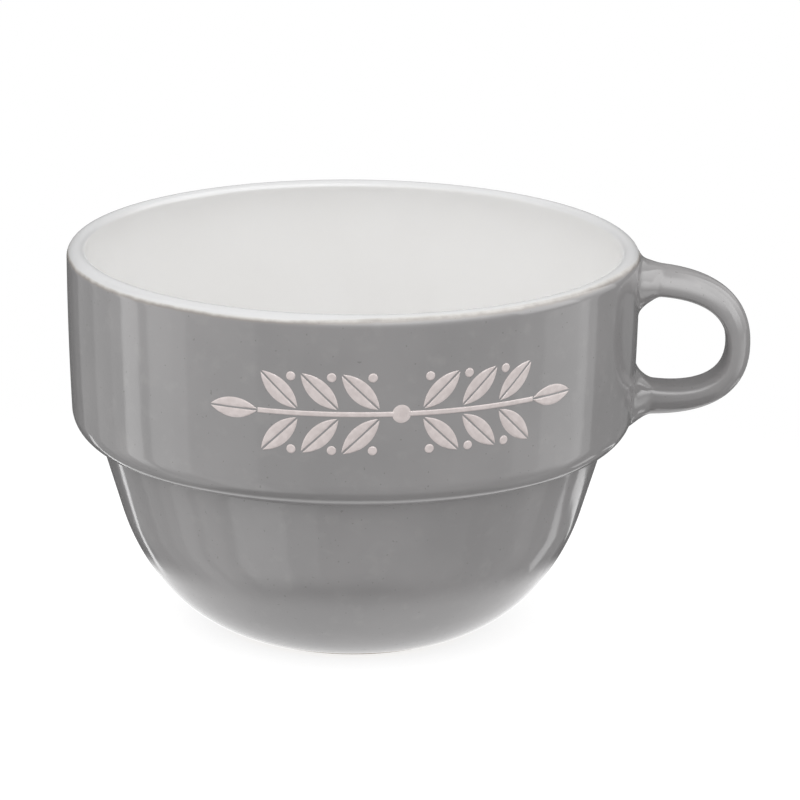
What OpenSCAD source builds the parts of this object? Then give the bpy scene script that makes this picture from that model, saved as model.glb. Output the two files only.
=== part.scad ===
// A stacking breakfast cup: a straight collar over a rounded bowl, with a ring handle.
// Millimetres, +Z up. The origin is on the cup's axis, in the plane that it stands on.
// The handle points along +X, and the transfer is on the side that faces -Y.
// Every layer is measured from the finished surface: the clay lies one coat under it.

/* [Rim and collar] */
// Diameter across the rim
rim_d = 115; // [106:0.5:124]
// Height of the collar, from the rim down to the shoulder's underside
collar_h = 38.7; // [34:0.1:46]
// Thickness of the finished wall
wall_t = 3.7; // [3.2:0.1:4.4]
// Radius of the outer half of the lip
lip_r = 2.2; // [1.8:0.1:2.5]
// How far the collar draws in from the rim to the shoulder
collar_draft = 0.7; // [0.4:0.1:1.4]
// Angle on the outer lip at which the white coat meets the grey one
glaze_line_angle = 30; // [10:1:50]

/* [Shoulder] */
// How far the bowl's top is set in from the rim
shoulder_in = 6.1; // [5.2:0.1:7]
// Radius of the rounded corner under the collar
corner_r = 5.8; // [4.5:0.1:7]
// Radius of the hollow between the corner and the bowl
crease_r = 0.7; // [0.5:0.1:1.2]
// Radius of the hollow where the inner wall turns onto the ledge
ledge_hollow_r = 4.2; // [3.5:0.1:5]
// Radius of the inner ledge's edge
ledge_edge_r = 3.4; // [2.8:0.1:4]

/* [Bowl] */
// Height of the bowl, from the table to the shoulder's underside
bowl_h = 39.5; // [36:0.1:46]
// How far the bowl draws in from its top to the table
bowl_in = 25.2; // [22:0.1:28]
// Lean of the bowl's upper flank from upright
flank_lean = 16.5; // [14:0.5:19]
// Height of the bowl's straight upper flank
flank_h = 15.1; // [12.5:0.1:18]
// Lean of the bowl's side where its curve tightens
belly_lean = 38.8; // [35:0.5:44]
// Radius of the lower curve as a share of the upper one
keel_share = 0.732; // [0.68:0.01:0.8]
// Thickness of the finished floor at its middle
floor_t = 4.4; // [3.6:0.1:6]
// Radius from the inner flank to the floor
floor_round_r = 14; // [10:0.5:18]

/* [Foot] */
// Width of the ring that the cup stands on
foot_w = 3.6; // [3:0.1:4.5]
// Height of the hollow inside the ring
recess_h = 2; // [1.6:0.1:2.6]
// Radius where the hollow's side meets its ceiling
recess_round_r = 1; // [0.8:0.1:1.4]
// Radius of the ring's two edges
foot_edge_r = 0.4; // [0.3:0.1:0.6]
// Height of the bare clay above the table
bare_h = 0.9; // [0.8:0.1:1.2]

/* [Handle] */
// Height of bare collar between the rim and the upper joint
top_gap = 2.65; // [2.2:0.05:4]
// Height of bare collar between the lower joint and the shoulder's underside
bottom_gap = 1.3; // [1:0.1:2.4]
// How far the handle's centreline stands out from the rim
handle_out = 20.3; // [17:0.1:26]
// Height at which it stands out furthest, as a share of the way up between the joints
handle_mid_share = 0.44; // [0.36:0.01:0.56]
// Width of the strap
strap_w = 10; // [8:0.1:10.5]
// Thickness of the strap where it stands out furthest
strap_t = 4.9; // [4:0.1:6]
// Thickness of the strap at its upper end
strap_top_t = 6.4; // [6:0.1:7.5]
// Thickness of the strap at its lower end
strap_bottom_t = 8; // [7:0.1:9]
// How flat the strap is inside and domed outside: 0 is an even oval
strap_flat_share = 0.45; // [0:0.05:0.45]
// Length over which the ends flare to the wall
flare_run = 4.7; // [4.2:0.1:6]
// How far the lower end runs in under the collar's rounded corner
bottom_sink = 1.3; // [0.8:0.1:1.8]
// Flare of the upper end, upwards
top_flare_up = 0.7; // [0.5:0.1:1.4]
// Flare of the upper end, downwards
top_flare_down = 2.6; // [2:0.1:4.5]
// Flare of the lower end, upwards
bottom_flare_up = 1.9; // [1:0.1:3]
// Flare of the lower end, downwards
bottom_flare_down = 2.3; // [2:0.1:3.2]
// Flare of both ends, sideways
flare_side = 3; // [2:0.1:4]

/* [Coats] */
// Thickness of each glaze coat, and of the slip under the handle
glaze_t = 0.3; // [0.2:0.05:0.5]
// Thickness of the fired transfer
print_t = 0.1; // [0.08:0.01:0.15]

/* [Transfer] */
// How far the garland's middle is turned from -Y towards the handle, in degrees
print_turn = 10; // [0:1:20]
// How far the garland's stem lies below the middle of the collar's side
stem_drop = 1.35; // [0:0.05:2.5]
// Height of the stem's line
stem_w = 1; // [0.8:0.1:1.6]
// Number of leaf pairs on each side
leaf_pairs = 3; // [2:1:4]
// Distance from one pair to the next along the wall
leaf_pitch = 7.8; // [7.5:0.1:8.5]
// Distance of the first pair from the middle
leaf_start = 4.2; // [4:0.1:5]
// Length of a leaf
leaf_l = 10; // [8:0.1:10.4]
// Width of a leaf
leaf_w = 4; // [3:0.1:4.2]
// Lean of a leaf from the stem
leaf_lean = 44; // [42:1:46]
// Gap between a leaf's foot and the middle of the stem
leaf_gap = 0.9; // [0.7:0.1:1.2]
// Radius of a berry
berry_r = 0.9; // [0.7:0.1:1.1]
// Height of a berry above or below the stem
berry_rise = 7.2; // [7:0.1:7.4]
// Distance of a berry from its pair's foot, along the wall
berry_shift = 1.3; // [1.1:0.1:1.5]
// Radius of the boss in the garland's middle
boss_r = 1.8; // [1.2:0.1:2.4]

/* [Hidden] */
// Facets of a preview: degrees of turn for each
$fa = 3;
// Degrees turned by each straight stretch of a large round, and of a small one
arc_step = 4;
small_arc_step = 15;
// Straight stretches along the collar's slow curve
barrel_steps = 4;
// Outline points closer than this are one point
same_point = 0.001;
// Sides of the handle's section, and rings along each half of it
strap_sides = 24;
strap_rings = 18;
// How the strap thins from its ends to its middle: 1 is steady, more keeps it slim for longer
thinning_power = 1.6;
// Where the handle's two curves are pulled to, as shares of its reach and of its heights
top_run_share = 0.92;
top_drop_share = 0.33;
bottom_drop_share = 1.37;
bottom_run_share = 0.05;
// Overrun of every cutting shape
over = 1;

rim_r = rim_d / 2;
shoulder_z = bowl_h;
cup_h = bowl_h + collar_h;
lip_in_r = wall_t - lip_r;
lip_c = [rim_r - lip_r, cup_h - lip_r];
lip_in_c = [rim_r - wall_t + lip_in_r, cup_h - lip_in_r];

// The collar's side is one slow arc, upright under the lip and drawn in at the corner.
corner_c = [rim_r - collar_draft - corner_r, shoulder_z + corner_r];
barrel_drop = lip_c[1] - corner_c[1];
barrel_sweep = 2 * atan(collar_draft / barrel_drop);
barrel_r = corner_r + barrel_drop / sin(barrel_sweep);
barrel_c = [rim_r - barrel_r, lip_c[1]];

// The bowl: a straight flank, an upper arc and a tighter lower arc that lands at foot_r.
flank_out = [cos(flank_lean), -sin(flank_lean)];
flank_down = [-sin(flank_lean), -cos(flank_lean)];
bowl_top_r = rim_r - shoulder_in;
foot_r = bowl_top_r - bowl_in;
flank_top = [bowl_top_r, shoulder_z];
flank_end = flank_top + flank_down * flank_h / cos(flank_lean);
turn_r_share = cos(flank_lean) - (1 - keel_share) * cos(belly_lean);
turn_z_share = sin(flank_lean) - (1 - keel_share) * sin(belly_lean);
land = [foot_r - flank_end[0], flank_end[1]];
square_term = pow(turn_r_share, 2) + pow(turn_z_share, 2) - pow(keel_share, 2);
half_term = land[0] * turn_r_share + land[1] * turn_z_share;
belly_r = (-half_term - sqrt(pow(half_term, 2) - square_term * land * land)) / square_term;
keel_r = keel_share * belly_r;
belly_c = flank_end - belly_r * flank_out;
keel_c = belly_c + (belly_r - keel_r) * [cos(belly_lean), -sin(belly_lean)];
coat_end_angle = asin((keel_c[1] - bare_h) / keel_r);

// The crease is a small circle that touches the corner's circle and the flank.
crease_start = flank_top + crease_r * flank_out - corner_c;
crease_along = -crease_start * flank_down
    + sqrt(pow(crease_start * flank_down, 2) - crease_start * crease_start
    + pow(corner_r + crease_r, 2));
crease_c = corner_c + crease_start + crease_along * flank_down;
corner_end_angle = heading(crease_c - corner_c);

// Inside, the ledge's edge touches the inner flank, and its hollow touches the collar.
ledge_edge_c = flank_top - (wall_t - ledge_edge_r) * (flank_out + flank_down);
ledge_hollow_c = meet(barrel_c, barrel_r - wall_t - ledge_hollow_r,
    ledge_edge_c, ledge_edge_r + ledge_hollow_r);
ledge_angle = heading(ledge_edge_c - ledge_hollow_c);
hollow_angle = heading(ledge_hollow_c - barrel_c);
floor_z = recess_h - glaze_t + floor_t;
floor_turn = belly_r - wall_t - floor_round_r;
floor_c = [belly_c[0] + sqrt(pow(floor_turn, 2)
    - pow(belly_c[1] - floor_z - floor_round_r, 2)), floor_z + floor_round_r];
floor_angle = heading(floor_c - belly_c);

recess_r = foot_r - foot_w;

// The handle's centreline: where it meets the wall, and where it stands out furthest.
handle_top_z = cup_h - top_gap - top_flare_up - strap_top_t / 2;
handle_bottom_z = shoulder_z + bottom_gap + bottom_flare_down + strap_bottom_t / 2;
handle_mid_z = handle_bottom_z + handle_mid_share * (handle_top_z - handle_bottom_z);
handle_reach = rim_r + handle_out;
wall_x = rim_r - collar_draft * (cup_h - handle_top_z) / barrel_drop;

// The garland runs round the middle of the collar's side.
stem_z = (lip_c[1] + corner_c[1]) / 2 - stem_drop;

function heading(v) = atan2(v[1], v[0]);
function reversed(list) = [for (i = [len(list) - 1:-1:0]) list[i]];

// The crossing of two circles that lies on the left of the line from the first to the second.
function meet(a, ra, b, rb) =
    let (d = norm(b - a), u = (b - a) / d, along = (d * d + ra * ra - rb * rb) / (2 * d))
    a + along * u + sqrt(ra * ra - along * along) * [-u[1], u[0]];

function arc(c, r, from, to, step = arc_step) =
    let (n = max(2, round(abs(to - from) / step)))
    [for (i = [0:n]) let (a = from + (to - from) * i / n) c + r * [cos(a), sin(a)]];

function small_arc(c, r, from, to) = arc(c, r, from, to, small_arc_step);

// The outer side, from the given angle on the lip down to the end of the grey coat.
function outer_side(depth, from = 90) = concat(
    small_arc(lip_c, lip_r - depth, from, 0),
    arc(barrel_c, barrel_r - depth, 0, -barrel_sweep, barrel_sweep / barrel_steps),
    arc(corner_c, corner_r - depth, -barrel_sweep, corner_end_angle),
    small_arc(crease_c, crease_r + depth, corner_end_angle + 180, 180 - flank_lean),
    arc(belly_c, belly_r - depth, -flank_lean, -belly_lean),
    arc(keel_c, keel_r - depth, -belly_lean, -coat_end_angle));

// The inner side, from the middle of the floor up to the top of the rim.
function inner_side(depth) = concat(
    [[0, floor_z - depth]],
    arc(floor_c, floor_round_r + depth, -90, floor_angle),
    arc(belly_c, belly_r - wall_t + depth, floor_angle, -flank_lean),
    arc(ledge_edge_c, ledge_edge_r - depth, 180 - flank_lean, ledge_angle + 180),
    arc(ledge_hollow_c, ledge_hollow_r + depth, ledge_angle, hollow_angle),
    arc(barrel_c, barrel_r - wall_t + depth, hollow_angle, 0, barrel_sweep / barrel_steps),
    small_arc(lip_in_c, lip_in_r - depth, 180, 90));

// The hollow under the floor, from its middle to the ring's inner side.
function recess_side(depth) = concat(
    [[0, recess_h - depth]],
    small_arc([recess_r - recess_round_r, recess_h - recess_round_r],
        recess_round_r - depth, 90, 0),
    [[recess_r - depth, bare_h]]);

// The bare ring: on from the grey coat's end, round both edges, and flat on the table.
function foot_side() =
    let (ring_r = keel_c[0] + sqrt(pow(keel_r - glaze_t, 2) - pow(keel_c[1] - foot_edge_r, 2)))
    concat(
        small_arc([ring_r - foot_edge_r, foot_edge_r], foot_edge_r, 0, -90),
        small_arc([recess_r + foot_edge_r, foot_edge_r], foot_edge_r, -90, -180));

module turned(outline) {
    last = len(outline) - 1;
    rotate_extrude()
        polygon([for (i = [0:last])
            if (norm(outline[i] - outline[i == 0 ? last : i - 1]) > same_point) outline[i]]);
}

module coat_shell(outer, inner) {
    turned(concat(outer, reversed(inner)));
}

// Everything inside the cup's finished outer surface.
module filled_cup() {
    turned(concat([[0, cup_h]], outer_side(0), [[0, bare_h]]));
}

module outer_coat() {
    coat_shell(outer_side(0, glaze_line_angle), outer_side(glaze_t, glaze_line_angle));
}

function bezier(p, t) =
    pow(1 - t, 3) * p[0] + 3 * pow(1 - t, 2) * t * p[1]
    + 3 * (1 - t) * t * t * p[2] + pow(t, 3) * p[3];

function bezier_slope(p, t) =
    pow(1 - t, 2) * (p[1] - p[0]) + 2 * (1 - t) * t * (p[2] - p[1]) + t * t * (p[3] - p[2]);

sunk_x = wall_x - bottom_sink;
top_curve = [
    [wall_x, handle_top_z],
    [wall_x + top_run_share * (handle_reach - wall_x), handle_top_z],
    [handle_reach, handle_mid_z + top_drop_share * (handle_top_z - handle_mid_z)],
    [handle_reach, handle_mid_z]];
bottom_curve = [
    [handle_reach, handle_mid_z],
    [handle_reach, handle_mid_z - bottom_drop_share * (handle_mid_z - handle_bottom_z)],
    [sunk_x + bottom_run_share * (handle_reach - sunk_x), handle_bottom_z],
    [sunk_x, handle_bottom_z]];

// Rises smoothly from 0 to 1, level at both ends.
function eased(t) = let (u = min(1, max(0, t))) u * u * (3 - 2 * u);

// One ring of the strap: its centre, its outward direction, its outward, inward and sideways
// half sizes, and its flatness, which dies out in the flares. s runs from 0 at the upper
// joint to 1 at the lower one.
function strap_ring(s, depth) =
    let (
        upper = s < 1 / 2,
        curve = upper ? top_curve : bottom_curve,
        t = upper ? 2 * s : 2 * s - 1,
        centre = bezier(curve, t),
        slope = bezier_slope(curve, t),
        outward = [-slope[1], slope[0]] / norm(slope),
        end_t = upper ? strap_top_t : strap_bottom_t,
        half_t = (strap_t + (end_t - strap_t) * pow(abs(2 * s - 1), thinning_power)) / 2,
        near = eased(1 - (centre[0] - curve[upper ? 0 : 3][0]) / flare_run),
        outer = half_t + near * (upper ? top_flare_up : bottom_flare_down) - depth,
        inner = half_t + near * (upper ? top_flare_down : bottom_flare_up) - depth,
        side = strap_w / 2 + near * flare_side - depth)
    [centre, outward, outer, inner, side, strap_flat_share * (1 - near)];

// The ring's points, shifted along X by the given distance.
function ring_points(ring, shift) =
    let (middle = ring[0] + ring[1] * (ring[2] - ring[3]) / 2, half = (ring[2] + ring[3]) / 2)
    [for (i = [0:strap_sides - 1])
        let (
            a = 360 * i / strap_sides,
            p = middle + ring[1] * half * (cos(a) - ring[5] * pow(sin(a), 2)))
        [p[0] + shift, ring[4] * sin(a), p[1]]];

// The strap swept along both curves, with straight stubs that reach into the wall.
// Its end rings lie nearer the cup by twice the depth, so the coat stays whole on the flares.
module strap(depth, stub) {
    steps = 2 * strap_rings;
    rings = concat(
        [ring_points(strap_ring(0, depth), -stub)],
        [for (i = [0:steps])
            ring_points(strap_ring(i / steps, depth), i == 0 || i == steps ? -2 * depth : 0)],
        [ring_points(strap_ring(1, depth), -stub)]);
    last = len(rings) - 1;
    n = strap_sides;
    polyhedron(
        points = [for (ring = rings, p = ring) p],
        faces = concat(
            [[for (i = [n - 1:-1:0]) i]],
            [for (k = [0:last - 1], i = [0:n - 1]) let (j = (i + 1) % n)
                [k * n + i, k * n + j, (k + 1) * n + j, (k + 1) * n + i]],
            [[for (i = [0:n - 1]) last * n + i]]));
}

// The footprint of one end of the clay handle, as a prism along X through the wall.
module joint_prism(s) {
    ring = strap_ring(s, glaze_t);
    half = (ring[2] + ring[3]) / 2;
    middle = ring[0][1] + ring[1][1] * (ring[2] - ring[3]) / 2;
    translate([bowl_top_r, 0, middle])
        rotate([90, 0, 90])
            linear_extrude(rim_r - bowl_top_r + over)
                polygon([for (i = [0:strap_sides - 1]) let (a = 360 * i / strap_sides)
                    [ring[4] * sin(a), half * cos(a)]]);
}

module slip_joint(s) {
    color([0.86, 0.83, 0.78])
        intersection() {
            outer_coat();
            joint_prism(s);
        }
}

module clay_body() {
    color([0.9, 0.87, 0.82])
        turned(concat(outer_side(glaze_t), foot_side(), reversed(recess_side(0)),
            inner_side(glaze_t)));
}

module clay_handle() {
    color([0.9, 0.87, 0.82])
        difference() {
            strap(glaze_t, wall_t);
            filled_cup();
        }
}

module upper_slip_joint() {
    slip_joint(0);
}

module lower_slip_joint() {
    slip_joint(1);
}

module inner_glaze() {
    color([0.91, 0.9, 0.9])
        coat_shell(
            concat(inner_side(0), small_arc(lip_c, lip_r, 90, glaze_line_angle)),
            concat(inner_side(glaze_t),
                small_arc(lip_c, lip_r - glaze_t, 90, glaze_line_angle)));
}

module outer_glaze() {
    color([0.57, 0.57, 0.56])
        difference() {
            outer_coat();
            joint_prism(0);
            joint_prism(1);
        }
}

module handle_glaze() {
    color([0.57, 0.57, 0.56])
        difference() {
            strap(0, wall_t);
            strap(glaze_t, wall_t + over);
            filled_cup();
        }
}

module base_glaze() {
    color([0.57, 0.57, 0.56])
        coat_shell(recess_side(0), recess_side(glaze_t));
}

// A pointed leaf between two arcs, with its foot at the origin and its tip along +X.
module leaf() {
    side_r = (pow(leaf_l, 2) + pow(leaf_w, 2)) / (4 * leaf_w);
    translate([leaf_l / 2, 0])
        intersection_for(side = [-1, 1])
            translate([0, side * (side_r - leaf_w / 2)])
                circle(r = side_r, $fn = 96);
}

// Stands a flat shape on the collar, the given distance along the wall from the middle.
module on_wall(distance, height) {
    rotate([0, 0, print_turn + distance / rim_r * 180 / PI])
        translate([0, -(rim_r - wall_t), height])
            rotate([90, 0, 0])
                linear_extrude(wall_t + over)
                    children();
}

module leaf_on_wall(distance, side, up) {
    on_wall(distance, stem_z)
        scale([side, up])
            translate([0, leaf_gap])
                rotate(leaf_lean)
                    leaf();
}

stem_half_angle = (leaf_start + leaf_pairs * leaf_pitch) / rim_r * 180 / PI;

module garland() {
    for (side = [-1, 1]) {
        for (i = [0:leaf_pairs - 1], up = [-1, 1]) {
            foot = leaf_start + i * leaf_pitch;
            leaf_on_wall(side * foot, side, up);
            on_wall(side * (foot + berry_shift), stem_z + up * berry_rise)
                circle(r = berry_r, $fn = 48);
        }
        on_wall(side * (leaf_start + leaf_pairs * leaf_pitch), stem_z)
            scale([side, 1])
                leaf();
    }
    on_wall(0, stem_z)
        circle(r = boss_r, $fn = 48);
    rotate([0, 0, print_turn - 90 - stem_half_angle])
        rotate_extrude(angle = 2 * stem_half_angle)
            translate([rim_r - wall_t, stem_z - stem_w / 2])
                square([wall_t + over, stem_w]);
}

module transfer_print() {
    color([0.85, 0.8, 0.79])
        intersection() {
            coat_shell(outer_side(-print_t, 0), outer_side(0, 0));
            garland();
        }
}

clay_body();
clay_handle();
upper_slip_joint();
lower_slip_joint();
inner_glaze();
outer_glaze();
handle_glaze();
base_glaze();
transfer_print();
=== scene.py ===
# %% [markdown]
# # A stacking breakfast cup
# This cup is slip-cast stoneware. Its finish is three things a potter would name: a white glaze
# poured inside and over the lip, a grey glaze sprayed outside, and a pale transfer fired onto the
# collar. The solids of the clay come in model.glb, so this file only makes what the eye sees.
# Every length is in millimetres, as on a potter's drawing, and becomes metres in one place.

# %% Load the imported model
import math

import bmesh
import bpy
import numpy as np
from mathutils import Matrix, Vector, noise


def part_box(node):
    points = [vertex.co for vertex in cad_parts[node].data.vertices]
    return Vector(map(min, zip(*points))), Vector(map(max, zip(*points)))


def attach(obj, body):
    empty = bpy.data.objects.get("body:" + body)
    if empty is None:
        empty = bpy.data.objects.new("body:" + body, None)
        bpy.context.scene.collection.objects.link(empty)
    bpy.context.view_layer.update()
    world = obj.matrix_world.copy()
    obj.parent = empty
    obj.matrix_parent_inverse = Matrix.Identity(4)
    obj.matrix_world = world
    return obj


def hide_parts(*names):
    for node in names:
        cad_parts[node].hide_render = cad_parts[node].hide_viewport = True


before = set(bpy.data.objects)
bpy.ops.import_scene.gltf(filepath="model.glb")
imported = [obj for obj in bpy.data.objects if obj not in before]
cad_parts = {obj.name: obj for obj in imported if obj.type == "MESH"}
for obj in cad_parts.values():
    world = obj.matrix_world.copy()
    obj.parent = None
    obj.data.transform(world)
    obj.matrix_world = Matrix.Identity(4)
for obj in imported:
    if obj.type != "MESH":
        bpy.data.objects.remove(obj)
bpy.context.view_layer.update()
MM = 0.001
print("nodes:", sorted(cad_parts))

# %% [markdown]
# ## The camera
# A cup is judged by its outline, so the camera comes first. The photograph was taken with a long
# lens, a little above the rim. The camera is built from three directions: right, up and back.
# The alternative is a Track To constraint, but that can't hold the slight roll of the picture.

# %% Camera at the photograph's viewing angle
VIEW_RISE = 16.402
VIEW_ROLL = 0.597
CAMERA_AT = (9.60, -765.59, 270.78)
SENSOR_W = 36
LENS = 176.92


def camera_axes(rise, roll):
    """Right, up and back of a camera that looks along +Y from the given rise, in degrees."""
    rise, roll = math.radians(rise), math.radians(roll)
    right = Vector((1, 0, 0))
    up = Vector((0, math.sin(rise), math.cos(rise)))
    back = Vector((0, -math.cos(rise), math.sin(rise)))
    rolled_right = math.cos(roll) * right + math.sin(roll) * up
    rolled_up = math.cos(roll) * up - math.sin(roll) * right
    return rolled_right, rolled_up, back


scene = bpy.context.scene
lens = bpy.data.cameras.new("camera")
lens.sensor_width = SENSOR_W
lens.lens = LENS
lens.clip_start = 0.01
camera = bpy.data.objects.new("camera", lens)
scene.collection.objects.link(camera)
axes = Matrix(camera_axes(VIEW_RISE, VIEW_ROLL)).transposed().to_4x4()
camera.matrix_world = Matrix.Translation(Vector(CAMERA_AT) * MM) @ axes
scene.camera = camera
scene.view_settings.view_transform = "Standard"
print("camera is", round((Vector(CAMERA_AT) - Vector((0, 0, 40))).length), "mm from the cup")

# %% [markdown]
# ## The turned outline
# The cup is turned, so one outline gives every surface of it. On the real cup that outline is
# the profile of the plaster mould. It could be drawn as a curve and spun with the Screw
# modifier. Here it is worked out from arcs, because the glaze coats need the same outline at
# other depths, and an arc keeps its centre when its radius changes by the depth.

# %% Driving sizes of the outline
RIM_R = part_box("outer_glaze")[1].x / MM
CUP_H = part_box("inner_glaze")[1].z / MM
BOWL_H = 39.5
WALL_T = 3.7
LIP_R = 2.2
COLLAR_DRAFT = 0.7
SHOULDER_IN = 6.1
CORNER_R = 5.8
CREASE_R = 0.7
LEDGE_HOLLOW_R = 4.2
LEDGE_EDGE_R = 3.4
BOWL_IN = 25.2
FLANK_LEAN = 16.5
FLANK_H = 15.1
BELLY_LEAN = 38.8
KEEL_SHARE = 0.732
FLOOR_T = 4.4
FLOOR_ROUND_R = 14
FOOT_W = 3.6
RECESS_H = 2
RECESS_ROUND_R = 1
BARE_H = 0.9
GLAZE_T = 0.3
print(f"rim {2 * RIM_R:.2f} mm across, {CUP_H:.2f} mm high")

# %% Centres and radii that follow from them


def heading(vector):
    return math.degrees(math.atan2(vector[1], vector[0]))


def meet(a, radius_a, b, radius_b):
    """The crossing of two circles on the left of the line from a to b."""
    gap = np.linalg.norm(b - a)
    u = (b - a) / gap
    along = (gap**2 + radius_a**2 - radius_b**2) / (2 * gap)
    return a + along * u + math.sqrt(radius_a**2 - along**2) * np.array((-u[1], u[0]))


LIP_IN_R = WALL_T - LIP_R
lip_c = np.array((RIM_R - LIP_R, CUP_H - LIP_R))
lip_in_c = np.array((RIM_R - WALL_T + LIP_IN_R, CUP_H - LIP_IN_R))
corner_c = np.array((RIM_R - COLLAR_DRAFT - CORNER_R, BOWL_H + CORNER_R))
barrel_drop = lip_c[1] - corner_c[1]
barrel_sweep = math.degrees(2 * math.atan(COLLAR_DRAFT / barrel_drop))
barrel_r = CORNER_R + barrel_drop / math.sin(math.radians(barrel_sweep))
barrel_c = np.array((RIM_R - barrel_r, lip_c[1]))

lean = math.radians(FLANK_LEAN)
flank_out = np.array((math.cos(lean), -math.sin(lean)))
flank_down = np.array((-math.sin(lean), -math.cos(lean)))
flank_top = np.array((RIM_R - SHOULDER_IN, BOWL_H))
flank_end = flank_top + flank_down * FLANK_H / math.cos(lean)
foot_r = RIM_R - SHOULDER_IN - BOWL_IN
belly_out = np.array((math.cos(math.radians(BELLY_LEAN)), -math.sin(math.radians(BELLY_LEAN))))
turn_share = flank_out - (1 - KEEL_SHARE) * belly_out
turn_share[1] = -turn_share[1]
land = np.array((foot_r - flank_end[0], flank_end[1]))
square_term = turn_share @ turn_share - KEEL_SHARE**2
half_term = land @ turn_share
belly_r = (-half_term - math.sqrt(half_term**2 - square_term * (land @ land))) / square_term
keel_r = KEEL_SHARE * belly_r
belly_c = flank_end - belly_r * flank_out
keel_c = belly_c + (belly_r - keel_r) * belly_out

crease_start = flank_top + CREASE_R * flank_out - corner_c
back_along = crease_start @ flank_down
crease_along = -back_along + math.sqrt(
    back_along**2 - crease_start @ crease_start + (CORNER_R + CREASE_R) ** 2)
crease_c = corner_c + crease_start + crease_along * flank_down
corner_end = heading(crease_c - corner_c)

ledge_edge_c = flank_top - (WALL_T - LEDGE_EDGE_R) * (flank_out + flank_down)
ledge_hollow_c = meet(barrel_c, barrel_r - WALL_T - LEDGE_HOLLOW_R,
                      ledge_edge_c, LEDGE_EDGE_R + LEDGE_HOLLOW_R)
ledge_turn = heading(ledge_edge_c - ledge_hollow_c)
hollow_turn = heading(ledge_hollow_c - barrel_c)
floor_z = RECESS_H - GLAZE_T + FLOOR_T
floor_rise = belly_c[1] - floor_z - FLOOR_ROUND_R
floor_run = math.sqrt((belly_r - WALL_T - FLOOR_ROUND_R) ** 2 - floor_rise**2)
floor_c = np.array((belly_c[0] + floor_run, floor_z + FLOOR_ROUND_R))
floor_turn = heading(floor_c - belly_c)
recess_r = foot_r - FOOT_W
print(f"belly radius {belly_r:.3f} mm, keel radius {keel_r:.3f} mm, floor at {floor_z:.2f} mm")

# %% [markdown]
# ## Three skins from one outline
# A glazed wall has a clay face and a glaze face that run side by side. A Solidify modifier could
# give the second from the first, but it offers one thickness rule and no wandering edge. So each
# function below walks along one side of the wall, at any depth, and returns radius and height
# pairs. The number of points on a stretch never depends on the depth or on the glaze line, so
# that two skins, or columns with two glaze lines, can be joined point to point.

# %% Outline stretches
LIP_STEPS = 10
BARREL_STEPS = 48
CORNER_STEPS = 34
CREASE_STEPS = 10
FLANK_POINTS = 14
BELLY_STEPS = 24
KEEL_STEPS = 26
FLOOR_POINTS = 24
FLOOR_ROUND_STEPS = 18
LEDGE_EDGE_STEPS = 14
LEDGE_HOLLOW_STEPS = 16
INNER_BARREL_STEPS = 24
RECESS_POINTS = 16
RECESS_ROUND_STEPS = 8


def arc(centre, radius, start, end, count):
    turn = np.radians(np.linspace(start, end, count + 1))
    return np.column_stack((centre[0] + radius * np.cos(turn), centre[1] + radius * np.sin(turn)))


def joined(*stretches):
    """One outline from stretches that begin where the one before them ends."""
    return np.vstack([stretches[0]] + [stretch[1:] for stretch in stretches[1:]])


def outer_side(depth, line_angle, foot_height):
    """From the glaze line on the lip down to the end of the grey coat above the bare foot."""
    keel_end = math.degrees(math.asin((keel_c[1] - foot_height) / (keel_r - depth)))
    return joined(
        arc(lip_c, LIP_R - depth, line_angle, 0, LIP_STEPS),
        arc(barrel_c, barrel_r - depth, 0, -barrel_sweep, BARREL_STEPS),
        arc(corner_c, CORNER_R - depth, -barrel_sweep, corner_end, CORNER_STEPS),
        arc(crease_c, CREASE_R + depth, corner_end + 180, 180 - FLANK_LEAN, CREASE_STEPS),
        np.linspace(flank_top_at(depth), flank_end - depth * flank_out, FLANK_POINTS),
        arc(belly_c, belly_r - depth, -FLANK_LEAN, -BELLY_LEAN, BELLY_STEPS),
        arc(keel_c, keel_r - depth, -BELLY_LEAN, -keel_end, KEEL_STEPS))


def flank_top_at(depth):
    """Where the crease ends and the straight flank begins, at the given depth."""
    turn = math.radians(180 - FLANK_LEAN)
    return crease_c + (CREASE_R + depth) * np.array((math.cos(turn), math.sin(turn)))


def inner_side(depth):
    """From the middle of the floor up to the crest of the lip."""
    return joined(
        np.linspace((0, floor_z - depth), (floor_c[0], floor_z - depth), FLOOR_POINTS),
        arc(floor_c, FLOOR_ROUND_R + depth, -90, floor_turn, FLOOR_ROUND_STEPS),
        arc(belly_c, belly_r - WALL_T + depth, floor_turn, -FLANK_LEAN, BELLY_STEPS),
        arc(ledge_edge_c, LEDGE_EDGE_R - depth, 180 - FLANK_LEAN, ledge_turn + 180,
            LEDGE_EDGE_STEPS),
        arc(ledge_hollow_c, LEDGE_HOLLOW_R + depth, ledge_turn, hollow_turn,
            LEDGE_HOLLOW_STEPS),
        arc(barrel_c, barrel_r - WALL_T + depth, hollow_turn, 0, INNER_BARREL_STEPS),
        arc(lip_in_c, LIP_IN_R - depth, 180, 90, LIP_STEPS))


def recess_side(depth, end_height):
    """The hollow under the floor, from its middle to the inner side of the bare ring."""
    round_c = (recess_r - RECESS_ROUND_R, RECESS_H - RECESS_ROUND_R)
    return joined(
        np.linspace((0, RECESS_H - depth), (round_c[0], RECESS_H - depth), RECESS_POINTS),
        arc(round_c, RECESS_ROUND_R - depth, 90, 0, RECESS_ROUND_STEPS),
        np.array(((recess_r - depth, round_c[1]), (recess_r - depth, end_height))))


print("outline points:", len(outer_side(0, 30, BARE_H)), "outside,", len(inner_side(0)), "inside")

# %% [markdown]
# ## From outline to mesh
# A perfect lathe shape looks like plastic. On the real cup the glaze line runs in slow waves
# and the fired wall is a few hundredths of a millimetre out of round. So the mesh isn't one
# spun profile: each column around the cup gets its own outline, and the joined columns get a
# small inward shift from smooth noise. It is inward only, so the cup never grows past its size.

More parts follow.
